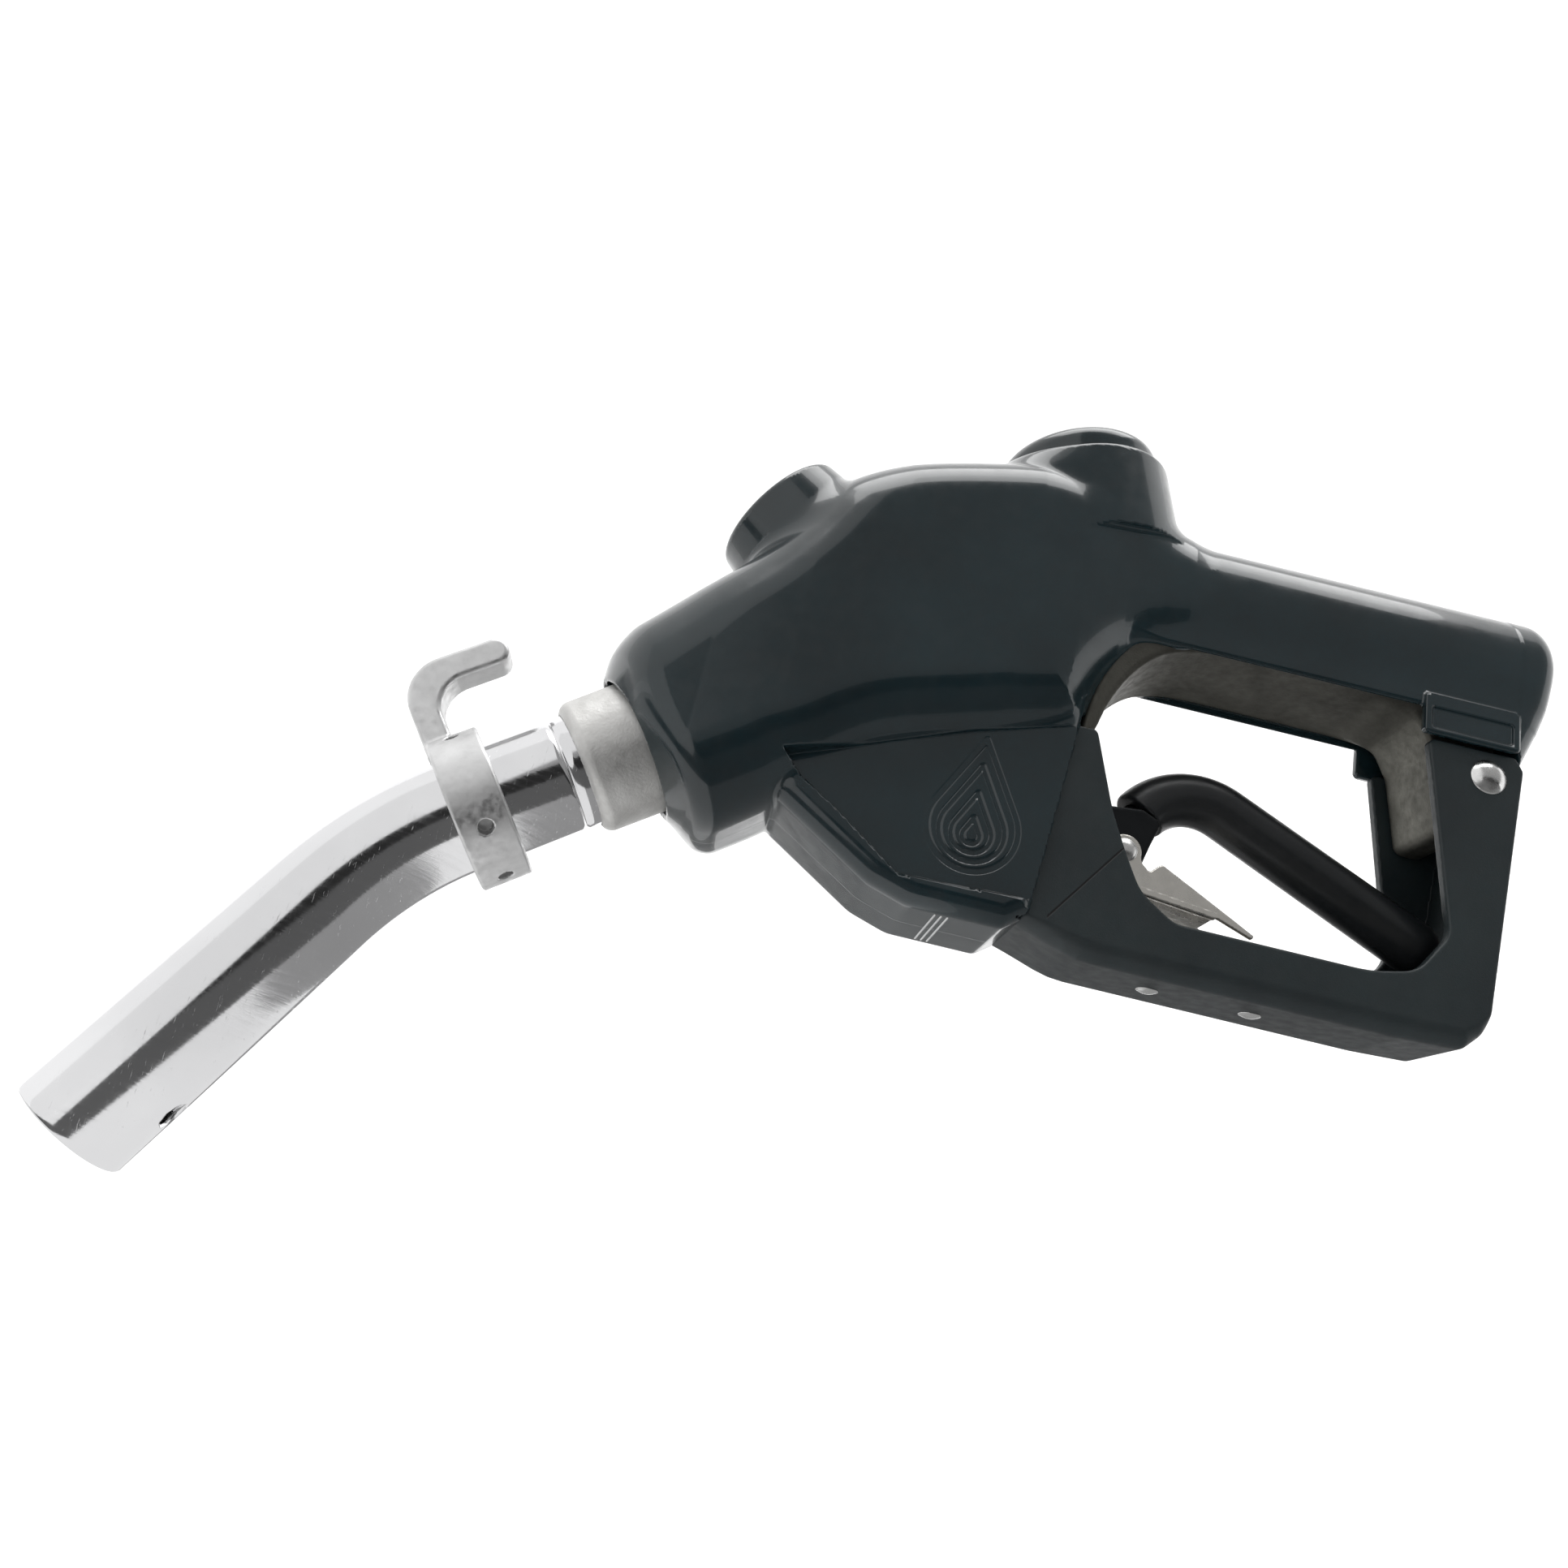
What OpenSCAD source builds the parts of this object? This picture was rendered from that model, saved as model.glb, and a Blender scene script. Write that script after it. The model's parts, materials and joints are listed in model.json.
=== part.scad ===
// Automatic shut-off fuel nozzle.
// Origin: centre of the inlet face. +X points out of the inlet, +Z up, and the nozzle is symmetric about y = 0.

/* [Spout] */
// Outside diameter of the spout tube
spout_d = 30; // [28:0.5:30.5]
// Wall thickness of the spout tube
spout_wall = 1.8; // [1.2:0.1:2]
// Angle of the spout's root below the grip's axis
spout_drop = 37; // [36:0.5:38]
// Bend of the spout
spout_bend = 23.1; // [15:0.1:25]
// Radius of the bend's centreline
bend_r = 95.7; // [90:0.1:100]
// Straight length from the breakaway groove to the bend
spout_root = 28.4; // [28:0.1:32]
// Straight length after the bend
spout_end = 73.7; // [60:0.1:80]

/* [Grip] */
// Width of the grip over its cover
grip_w = 38; // [38:0.5:40]
// Pipe bore of the inlet, measured at the thread's crests
inlet_bore = 24.2; // [22:0.1:24.2]
// Depth of the inlet thread
inlet_depth = 20; // [16:1:22]

/* [Lever] */
// Diameter of the lever's sleeve
sleeve_d = 14.5; // [12:0.5:15]
// Slope of the lever's straight part
lever_slope = 24; // [22:1:25]

/* [Guard] */
// Width of the guard
guard_w = 32; // [32:0.5:33]
// Wall thickness of the guard
guard_t = 3; // [2.5:0.1:3]

/* [Hidden] */
$fn = 48;

// The three inclined axes of the nozzle
groove = [-255, 0, -90.5];
valve_top = [-137, 0, 40];
dome_tilt = 13.6;
valve_tilt = 10;
latch_face = [-219, 0, 0];
latch_tilt = 38;
lever_pivot = [-124, 0, -74];
clip_pivot = [-110.3, 0, -77.5];

spout_r = spout_d / 2;
spout_in = spout_r - spout_wall;
grip_r = grip_w / 2;
grip_low = -20;
cast_r = grip_r - 3;
guard_in = guard_w / 2 - guard_t;
latch_length = 120.4;
stem_r = 2.2;
gland_r = 4.3;
stem_end = 105.07;
latch_angle = 90 + latch_tilt;
rivet_at = [-19, 0, -36];
screws_at = [[-143, 0, -62], [-148, 0, -94]];
rack_rivet_x = [-97.5, -70.5];
guard_floor = -110;
ring_from = 16;
ring_w = 13;
ring_r = 19;

// Local Z runs along the spout from its groove to the tip, local X is the spout's upper side
module on_spout() translate(groove) rotate([0, -90 - spout_drop, 0]) children();

// Local Z runs down the valve's axis from the top of its cap
module on_valve() translate(valve_top) rotate([0, 180 - valve_tilt, 0]) children();

// Local Z runs down the axis of the cover's dome, which leans a little more
module on_dome() translate(valve_top) rotate([0, 180 - dome_tilt, 0]) children();

// Local Z runs down the latch's axis from the vacuum cap's face to the lever's pivot
module on_latch() translate(latch_face) rotate([0, latch_angle, 0]) children();

// A solid of the given side outline, centred on y = 0
module side(points, w) rotate([90, 0, 0]) linear_extrude(w, center = true) polygon(points);

// A round bar across the nozzle at a point of its side view
module across(p, r, w) translate(p) rotate([90, 0, 0]) cylinder(r = r, h = w, center = true);

module ring(r_out, r_in, z0, z1) translate([0, 0, z0]) difference() {
    cylinder(r = r_out, h = z1 - z0);
    translate([0, 0, -1]) cylinder(r = r_in, h = z1 - z0 + 2);
}

// A rod from z0 to z1 on the local axis
module rod(r, z0, z1) translate([0, 0, z0]) cylinder(r = r, h = z1 - z0);

// A coil spring drawn as a stack of rings joined by two thin posts
module spring(r, wire, z0, z1, turns) {
    pitch = (z1 - z0 - 2 * wire) / (turns - 1);
    for (i = [0:turns - 1]) translate([0, 0, z0 + wire + i * pitch])
        rotate_extrude() translate([r, 0]) circle(r = wire, $fn = 16);
    for (s = [-1, 1]) translate([s * r, 0, z0 + wire]) cylinder(r = wire * 0.6, h = z1 - z0 - 2 * wire, $fn = 16);
}

// One round-cornered slice of the cover, normal to X
module slice(x, low, high, w, r) for (z = [low + r, high - r], s = [-1, 1])
    translate([x, s * (w - r), z]) rotate([0, 90, 0]) cylinder(r = r, h = 0.2, $fn = 32);

// One slice of the cover's nose, normal to the spout
module nose_slice(s, high, low, w, r) on_spout() for (h = [low + r, high - r], k = [-1, 1])
    translate([h, k * (w - r), s]) cylinder(r = r, h = 0.2, $fn = 32);

// Upper body of the cover; t is how far inside the outer face it lies
module body_form(t) {
    hull() {
        slice(-104, -22 + t, 20 - t, 19 - t, 15 - t);
        slice(-122, -43 + t, 27 - t, 22.5 - t, 12 - t);
    }
    hull() {
        slice(-122, -43 + t, 27 - t, 22.5 - t, 12 - t);
        slice(-146, -53 + t, 26 - t, 27 - t, 13 - t);
    }
    hull() {
        slice(-146, -53 + t, 26 - t, 27 - t, 13 - t);
        slice(-190, -71 + t, 12 - t, 28.5 - t, 16 - t);
    }
    hull() {
        slice(-190, -71 + t, 12 - t, 28.5 - t, 16 - t);
        slice(-209 + t, -64 + t, 3 - t, 27 - t, 15 - t);
        nose_slice(-37, 29 - t, 2 + t - 33, 27 - t, 20 - t);
    }
    hull() {
        nose_slice(-38, 29 - t, 2 + t - 33, 27 - t, 20 - t);
        nose_slice(-28, 30 - t, t - 30, 27 - t, 22 - t);
        nose_slice(-22 - t, 25 - t, t - 25, 24 - t, 21 - t);
    }
}

// Side outline of the lower housing in front of the guard
housing = [[-127, -46], [-133.5, -103.5], [-139, -107.5], [-164, -107.5], [-174, -105], [-201, -90.5],
    [-203, -76], [-190, -62]];
housing_in = [[-131, -52], [-136, -100], [-142, -104.3], [-163, -104.3], [-172.5, -102], [-196, -89],
    [-199, -78], [-188, -66]];

// Side outlines of the grip's metal and the body's metal block
block_side = [[-118, 0], [-124, 15], [-160, 10], [-190, -6], [-204, -36], [-196, -62], [-168, -54], [-132, -41],
    [-122, -36], [-118, -30]];
throat_side = [[-104, 0], [-124, 0], [-124, -38], [-116, -27], [-108, -20.5], [-104, -19.6]];
lug_side = [[-50, -19], [-45, -28], [-40, -56], [-31, -58], [-17, -42], [-14.8, -36], [-14.8, -27.8],
    [-11.6, -27.8], [-9, -19]];
cheek_side = [[-196, -62], [-168, -54], [-133, -43], [-136, -99], [-150, -102], [-170, -98], [-192, -86]];

// Outside of the metal body; the cover is hollowed by the same shape grown by g
module casting_form(g) {
    // Grip: round pipe above, flat bare face below
    translate([-112, 0, 0]) rotate([0, 90, 0]) cylinder(r = cast_r + g, h = 109.5);
    rotate([0, 90, 0]) rod(13.9 + g, -10, 0);
    side([[-112, 0], [-112, -19.6], [-9, -19.6], [-2.5, 0]], 2 * (cast_r + g));
    side(lug_side, 2 * (guard_in - 0.3 + g));
    side(block_side, 36 + 2 * g);
    side(throat_side, 2 * (cast_r - 1 + g));
    side(cheek_side, 33 + 2 * g);
    on_valve() rod(21 + g, 8 - g, 60 + g);
    on_latch() rod(21 + g, 8 - g, 26 + g);
    on_latch() rod(11 + g, 26, 96);
    on_spout() rod(20 + g, -80 - g, -24);
    on_spout() rod(18 + g, -30, -7);
    on_spout() translate([0, 0, -7.01]) cylinder(r1 = 18, r2 = 15.9, h = 3.36);
}

module body_casting() color([0.55, 0.54, 0.51]) difference() {
    casting_form(0);
    // Inlet and the way to the valve
    rotate([0, 90, 0]) rod(inlet_bore / 2, -inlet_depth, 5);
    rotate([0, 90, 0]) rod(10, -128, -inlet_depth + 1);
    // Valve chambers above and below the seat
    on_valve() rod(17, -2, 52);
    on_valve() rod(12, 50, 58);
    on_valve() rod(9, 57, 64);
    on_valve() rod(gland_r, 63, 100);
    // Two ways from the lower chamber past the latch to the nose
    difference() {
        union() {
            for (y = [-7.5, 7.5]) translate([-126.5, y, -19.6]) rotate([0, -106.4, 0]) rod(6, 0, 60);
            on_spout() rod(12, -90, -54);
        }
        on_latch() rod(8, 20, 100);
    }
    on_spout() rod(spout_r + 0.02, -55, 1);
    on_spout() rotate([90, 0, 0]) translate([0, -24, 0]) rod(2.5, -25, 0);
    // Diaphragm chamber and latch bore
    on_latch() rod(15, 5, 20);
    on_latch() rod(6, 19, 106);
    // Room for the lever's front end and the plunger's eye
    side([[-140, -56], [-118, -44], [-118, -110], [-149, -110]], 2 * guard_in + 0.2);
    // Fork of the rear lug, into which the lever's end rises
    side([[-54, -38], [-44, -38], [-30, -40], [-23, -46], [-23, -64], [-54, -64]], sleeve_d + 1.5);
    // Rivet hole through the rear lug, screw holes of the guard
    across(rivet_at, 3.02, 60);
    for (p = screws_at) across(p, 2.02, 60);
    on_latch() cap_screws() rod(1.42, 4, 16);
}

module body_cover() color([0.10, 0.15, 0.16]) difference() {
    union() {
        body_form(0);
        // Grip jacket: half-round top, flat sides, raked rear end
        difference() {
            union() {
                translate([-110, 0, 0]) rotate([0, 90, 0]) cylinder(r = grip_r, h = 110);
                side([[-110, 0], [-110, -19], [-99, grip_low], [-38, grip_low], [-38, -28], [-7, -28], [0, 0]], grip_w);
            }
            side([[-10, -34], [-4, -20], [-1.2, -12], [0, 0], [-1, 6], [-4, 13], [-9, 20], [30, 22], [30, -34]], 80);
        }
        // Dome over the valve cap
        on_dome() translate([0, 0, 2.5]) cylinder(r1 = 20.5, r2 = 22.5, h = 6);
        on_dome() cylinder(r1 = 18, r2 = 20.5, h = 2.6);
        on_dome() rod(24, 7.5, 12);
        on_dome() translate([0, 0, 11.9]) cylinder(r1 = 23, r2 = 25, h = 16);
        // Bump over the vacuum cap
        on_latch() translate([-1.5, 0, -3]) cylinder(r1 = 19, r2 = 24, h = 9);
        on_latch() translate([-1, 0, 5.9]) cylinder(r1 = 24, r2 = 26, h = 20);
        side(housing, 38);
    }
    body_form(3);
    side(housing_in, 33.6);
    casting_form(0.1);
    // Grip cavity, open below
    translate([-112.5, 0, 0]) rotate([0, 90, 0]) cylinder(r = cast_r + 0.1, h = 110.2);
    rotate([0, 90, 0]) rod(14.1, -10, 5);
    side([[-112, 0], [-112, -30], [-12.5, -30], [-2.4, -0.5], [-2.4, 0]], 2 * cast_r + 0.2);
    on_valve() rod(18, 3.2, 12);
    on_valve() rod(20.2, 7, 9);
    on_valve() rod(21.3, 8.5, 40);
    on_latch() rod(19.2, 0.6, 12);
    on_latch() rod(21.3, 7.8, 40);
    on_spout() rod(20.3, -50, -10);
    // Ways of the latch and the valve stem
    on_latch() rod(8, 80, 125);
    on_valve() rod(5, 60, 110);
    // Rear edge of the housing where the guard and the lever's front end enter
    side([[-127.3, -40], [-134.5, -104.3], [-134.5, -120], [-100, -120], [-100, -40]], 60);
    side([[-127.2, -47], [-118, -35], [-108, -23], [-99, -19.9], [-99, -60]], 60);
    side([[-140, -48], [-120, -44], [-120, -100.5], [-137.5, -100.5]], 2 * guard_in + 0.2);
}

module inlet_strainer() color([0.6, 0.6, 0.58]) rotate([0, 90, 0]) {
    ring(9.8, 8.2, -46, -24);
    difference() {
        rod(9.8, -47.5, -45.9);
        for (i = [0:5]) rotate(i * 60) translate([5, 0, -50]) cylinder(r = 1.6, h = 6);
    }
}

module valve_cap() color([0.5, 0.5, 0.48]) on_valve() difference() {
    union() {
        rod(17.6, 3.4, 8);
        rod(20, 7.2, 8);
        rod(16.98, 7.9, 16);
    }
    ring(17.5, 15.6, 11, 13.4);
    rod(13, 9.5, 20);
}

module cap_o_ring() color([0.05, 0.05, 0.05]) on_valve() ring(16.97, 15.62, 11.1, 13.3);

module main_spring() color([0.6, 0.6, 0.6]) on_valve() spring(9, 0.9, 9.7, 43.7, 7);

module valve_seat() color([0.7, 0.6, 0.35]) on_valve() ring(11.98, 8.6, 48, 57);

module main_poppet() color([0.65, 0.58, 0.38]) on_valve() {
    ring(12.5, stem_r + 0.02, 44, 47);
    ring(5.5, stem_r + 0.02, 40, 44.1);
}

module poppet_seal() color([0.06, 0.06, 0.06]) on_valve() ring(11.5, 4, 47.01, 47.9);

module valve_stem() color([0.75, 0.75, 0.74]) on_valve() {
    rod(stem_r, 38, stem_end);
    translate([0, 0, stem_end]) sphere(r = stem_r);
}

module stem_packing() color([0.85, 0.85, 0.82]) on_valve()
    ring(gland_r - 0.02, stem_r + 0.03, 65, 69);

module packing_nut() color([0.7, 0.6, 0.35]) on_valve() difference() {
    ring(gland_r - 0.02, stem_r + 0.06, 69.1, 75);
    translate([-5, -0.6, 74]) cube([10, 1.2, 2]);
}

module cap_screws() for (a = [45:90:315]) rotate(a) translate([17.2, 0, 0]) children();

module vacuum_cap() color([0.5, 0.5, 0.48]) on_latch() difference() {
    rod(19, 0.9, 8);
    rod(14.5, 3, 9);
    cap_screws() rod(1.42, 0, 9);
}

module vacuum_cap_screws() color([0.75, 0.75, 0.75]) on_latch() cap_screws() rod(1.4, 0.95, 14);

module diaphragm() color([0.1, 0.1, 0.1]) on_latch() ring(14.9, 4.1, 8.3, 9.1);

module diaphragm_spring() color([0.6, 0.6, 0.6]) on_latch() spring(6, 0.5, 3.2, 7.4, 3);

module latch_pin() color([0.75, 0.75, 0.74]) on_latch() {
    rod(4, 7.6, 10);
    rod(1.5, 9.9, 34);
}

module latch_rollers() color([0.8, 0.8, 0.8]) on_latch() for (a = [0:120:240])
    rotate(a) translate([3, 0, 32]) sphere(r = 1.2);

module latch_barrel() color([0.7, 0.6, 0.35]) on_latch() ring(5.97, 4.55, 24, 94);

module latch_plunger() color([0.75, 0.75, 0.74]) difference() {
    union() {
        on_latch() rod(4.5, 29, 112);
        on_latch() translate([-5.5, -4.8, 108]) cube([11, 9.6, latch_length - 108]);
        across(lever_pivot, 5.5, 9.6);
    }
    on_latch() rod(1.7, 28, 38);
    on_latch() for (a = [0:120:240]) rotate(a) translate([3, 0, 32]) sphere(r = 1.3);
    across(lever_pivot, 2.55, 40);
}

module plunger_spring() color([0.6, 0.6, 0.6]) on_latch() spring(3.4, 0.45, 20, 28.6, 4);

module lever_pin() color([0.78, 0.78, 0.77]) across(lever_pivot, 2.5, 22);

// The lever's core follows the sleeve: an arc over the front and a straight run to the end
arc_c = [-90, 0, -74.3];
arc_r = 18.5;
arc_0 = 90 - lever_slope;
arc_1 = 150;
run = 58;

module lever_path(r) {
    translate(arc_c) rotate([90, 0, 0]) rotate([0, 0, arc_0])
        rotate_extrude(angle = arc_1 - arc_0) translate([arc_r, 0]) circle(r = r);
    translate(arc_c) rotate([0, arc_0 * -1, 0]) translate([arc_r, 0, 0]) rotate([180, 0, 0]) rod(r, 0, run);
}

module lever_bracket() color([0.09, 0.10, 0.10]) difference() {
    union() {
        side([[-129, -77], [-128, -69.6], [-123, -66.6], [-106, -64.4], [-101, -67], [-103, -74], [-106, -80.5],
            [-112, -82.5], [-119, -80], [-124, -80]], 15);
        across(lever_pivot, 6, 15);
        intersection() {
            lever_path(4);
            side([[-125, -85], [-125, -50], [-24, -50], [-24, -110]], 30);
        }
    }
    across(lever_pivot, 2.51, 40);
    across(clip_pivot, 2.02, 40);
    side([[-135, -60], [-113.5, -60], [-113.5, -67.2], [-115.2, -73], [-115.2, -92], [-135, -92]], 10.2);
}

module lever_sleeve() color([0.07, 0.08, 0.08]) difference() {
    union() {
        lever_path(sleeve_d / 2);
        translate(arc_c) rotate([0, -arc_0, 0]) translate([arc_r, 0, -run]) sphere(r = sleeve_d / 2);
    }
    lever_path(4.02);
    side([[-129, -77], [-128, -69.5], [-123, -66.5], [-106, -64.3], [-100.9, -67], [-102.9, -74], [-106, -90]], 15.2);
    on_valve() rod(stem_r + 0.6, 90, 120);
    side([[-130, -60], [-106, -60], [-103, -70], [-100, -90], [-130, -90]], 4);
}

clip_side = [[-106.7, -79.7], [-103, -81.9], [-101.2, -79.6], [-100.4, -79.2], [-84, -87.4], [-74.6, -92.4],
    [-75.4, -93.2], [-84.6, -89.9], [-85.3, -90], [-105.4, -87.9], [-113, -81], [-113.6, -77.5]];

module hold_open_clip() color([0.86, 0.84, 0.8]) difference() {
    union() {
        for (s = [-1, 1]) translate([0, s * 8.4, 0]) {
            side(clip_side, 1.2);
            across(clip_pivot, 4.3, 1.2);
        }
        side([[-105.4, -87.9], [-85.3, -90], [-85.3, -89], [-105.2, -86.9]], 18);
    }
    across(clip_pivot, 2.06, 40);
}

module clip_rivet() color([0.8, 0.8, 0.78]) {
    across(clip_pivot, 2, 18.4);
    for (s = [-1, 1]) translate([0, s * 9.6, 0]) across(clip_pivot, 3.2, 1);
}

// Side outline of the guard and of the hand window in it
guard_side = [[-127.6, -49], [-124, -49.5], [-117, -70], [-112.5, -80], [-107.5, -90], [-104, -93.6], [-98, -96],
    [-48, -96], [-37, -93.5], [-31, -86], [-28.3, -75], [-35, -30], [-35, -28.4], [-12.6, -28.4], [-10.5, -32],
    [-18.5, -104], [-20, -107], [-24, -109], [-38, guard_floor], [-120, guard_floor], [-129, -108],
    [-134, -104.2]];
guard_room = [[-160, -30], [-160, -101], [-131, -101], [-122, -107], [-36, -107], [-26, -105.5], [-21.6, -102],
    [-14.2, -36], [-14.2, -20], [-60, -20]];

module lever_guard() color([0.09, 0.11, 0.12]) difference() {
    side(guard_side, guard_w);
    side(guard_room, 2 * guard_in);
    across(rivet_at, 3.02, 60);
    for (x = rack_rivet_x) translate([x, 0, -120]) cylinder(r = 2.02, h = 20);
}

module guard_screws() color([0.3, 0.3, 0.3]) for (p = screws_at, s = [-1, 1])
    translate([0, s * 14, 0]) across(p, 2, 5);

// Domed head of a rivet, its flat face at z = 0
module dome(r, h) intersection() {
    translate([0, 0, h - (r * r + h * h) / (2 * h)]) sphere(r = (r * r + h * h) / (2 * h));
    cylinder(r = r, h = h);
}

module rear_rivet() color([0.85, 0.85, 0.85]) {
    across(rivet_at, 3, guard_w);
    for (s = [-1, 1]) translate([rivet_at[0], s * guard_w / 2, rivet_at[2]]) rotate([s * -90, 0, 0]) dome(4.9, 2.6);
}

module latch_rack() color([0.35, 0.33, 0.3]) difference() {
    union() {
        side([[-104, -106.9], [-64, -106.9], [-64, -105.4], [-104, -105.4]], 11);
        for (s = [-1, 1]) translate([0, s * 4.5, 0]) side([[-102, -105.5], [-66, -105.5], [-70, -98], [-74, -96.4],
            [-76, -98], [-80, -95.6], [-82, -97.2], [-86, -95], [-88, -96.6], [-96, -94.8], [-101, -98]], 2);
    }
    for (x = rack_rivet_x) translate([x, 0, -120]) cylinder(r = 2.02, h = 40);
}

module rack_rivets() color([0.75, 0.75, 0.72]) for (x = rack_rivet_x) translate([x, 0, 0]) {
    rod(2, guard_floor - 0.1, -104.4);
    translate([0, 0, guard_floor]) rotate([180, 0, 0]) dome(2.8, 1);
}

module check_seat() color([0.7, 0.6, 0.35]) on_spout() ring(spout_r - 0.02, 8, -53, -49);

module check_poppet() color([0.7, 0.7, 0.7]) on_spout() {
    rod(11, -48.8, -45.5);
    rod(2, -46, -32);
}

module check_spring() color([0.6, 0.6, 0.6]) on_spout() spring(5, 0.6, -45.3, -38.2, 4);

module check_guide() color([0.7, 0.6, 0.35]) on_spout() difference() {
    rod(spout_r - 0.02, -38, -34);
    rod(2.06, -40, -30);
    for (a = [0:60:300]) rotate(a) translate([9, 0, -40]) cylinder(r = 3.6, h = 10);
}

// The spout's centreline as a tube of radius r, moved h towards its upper side, from s0 to the tip less cut
module spout_path(r, h, s0, cut) {
    translate([h, 0, 0]) rod(r, s0, spout_root);
    translate([-bend_r, 0, spout_root]) rotate([90, 0, 0])
        rotate_extrude(angle = spout_bend) translate([bend_r + h, 0]) circle(r = r);
    translate([-bend_r, 0, spout_root]) rotate([0, -spout_bend, 0]) translate([bend_r + h, 0, 0])
        rod(r, 0, spout_end - cut);
}

module at_tip() translate([-bend_r, 0, spout_root]) rotate([0, -spout_bend, 0])
    translate([bend_r, 0, spout_end]) children();

module spout_tube() color([0.85, 0.85, 0.86]) on_spout() difference() {
    spout_path(spout_r, 0, -33.5, 0);
    spout_path(spout_in, 0, -40, -1);
    ring(spout_r + 1, spout_r - 0.45, -0.4, 0.4);
    ring(spout_r + 1, spout_r - 1.2, -20.5, -17.9);
    // Sensing hole on the underside near the tip
    at_tip() translate([0, 0, -17]) rotate([0, -90, 0]) cylinder(r = 3.2, h = 20);
}

module spout_o_ring() color([0.05, 0.05, 0.05]) on_spout() ring(spout_r, spout_r - 1.18, -20.4, -18);

module spout_lock_screw() color([0.3, 0.3, 0.3]) on_spout() rotate([90, 0, 0]) translate([0, -24, 0])
    rod(2.48, -19.9, -15.1);

module sensing_tube() color([0.8, 0.8, 0.78]) on_spout() difference() {
    union() {
        spout_path(2, -10.6, -30, 14);
        at_tip() translate([-10.8, 0, -20.5]) cylinder(r = 2.2, h = 7);
    }
    at_tip() translate([-10.6, 0, -17]) rotate([0, -90, 0]) cylinder(r = 1.2, h = 20);
}

// Clamp ring with its hook: stem, round corner and arm lie in the nozzle's middle plane
module hook_ring() color([0.66, 0.66, 0.66]) on_spout() difference() {
    union() {
        rod(ring_r - 0.8, ring_from, ring_from + ring_w);
        rod(ring_r, ring_from + 0.8, ring_from + ring_w - 0.8);
        rotate([90, 0, 0]) linear_extrude(10, center = true) difference() {
            union() {
                translate([16, ring_from + 5.5]) square([14, 7.5]);
                translate([30, ring_from + 3]) circle(r = 10);
                translate([32.5, 3.2]) square([7.5, ring_from - 0.2]);
                translate([36.25, 3.2]) circle(r = 3.75);
            }
            translate([24, ring_from - 2.5]) circle(r = 8);
            translate([16, -10]) square([8, ring_from + 8.5]);
            translate([16, -10]) square([16.5, ring_from + 7.5]);
        }
    }
    rod(spout_r + 0.02, ring_from - 1, ring_from + ring_w + 1);
    for (a = [-35, -80, -125]) rotate(a + 90) rotate([0, 90, 0])
        translate([-ring_from - ring_w / 2, 0, 10]) cylinder(r = 1.9, h = 15);
}

module ring_set_screws() color([0.2, 0.2, 0.2]) on_spout() for (a = [-35, -80, -125])
    rotate(a + 90) rotate([0, 90, 0]) translate([-ring_from - ring_w / 2, 0, 0]) difference() {
        rod(1.88, spout_r + 0.03, ring_r - 0.9);
        translate([0, 0, ring_r - 2.4]) cylinder(r = 0.9, h = 3, $fn = 6);
    }

body_casting();
body_cover();
inlet_strainer();
valve_cap();
cap_o_ring();
main_spring();
valve_seat();
main_poppet();
poppet_seal();
valve_stem();
stem_packing();
packing_nut();
vacuum_cap();
vacuum_cap_screws();
diaphragm();
diaphragm_spring();
latch_pin();
latch_rollers();
latch_barrel();
latch_plunger();
plunger_spring();
lever_pin();
lever_bracket();
lever_sleeve();
hold_open_clip();
clip_rivet();
lever_guard();
guard_screws();
rear_rivet();
latch_rack();
rack_rivets();
check_seat();
check_poppet();
check_spring();
check_guide();
spout_tube();
spout_o_ring();
spout_lock_screw();
sensing_tube();
hook_ring();
ring_set_screws();
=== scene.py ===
"""Looks of the fuel nozzle: smooth vinyl jacket, moulded guard, cast metal, bright spout, and the studio."""
import json
import math

import bpy
import numpy as np
from mathutils import Matrix, Vector


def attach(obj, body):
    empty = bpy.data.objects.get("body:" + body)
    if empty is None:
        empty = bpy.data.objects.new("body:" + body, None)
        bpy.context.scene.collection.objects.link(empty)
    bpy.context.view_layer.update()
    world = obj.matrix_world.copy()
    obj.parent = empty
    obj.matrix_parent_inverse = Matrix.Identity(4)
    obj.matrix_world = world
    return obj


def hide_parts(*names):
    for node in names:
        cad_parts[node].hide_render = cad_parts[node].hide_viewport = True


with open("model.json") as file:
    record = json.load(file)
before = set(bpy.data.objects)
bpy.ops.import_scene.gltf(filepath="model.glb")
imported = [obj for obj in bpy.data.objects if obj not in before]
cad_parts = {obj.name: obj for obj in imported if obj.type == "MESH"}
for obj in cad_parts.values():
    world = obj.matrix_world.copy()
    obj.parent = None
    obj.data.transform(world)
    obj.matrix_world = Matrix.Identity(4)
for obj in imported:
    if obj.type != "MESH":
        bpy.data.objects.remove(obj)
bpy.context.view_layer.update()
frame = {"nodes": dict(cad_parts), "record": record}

MM = 0.001

# ---------------------------------------------------------------- axes of the nozzle, in millimetres

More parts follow.
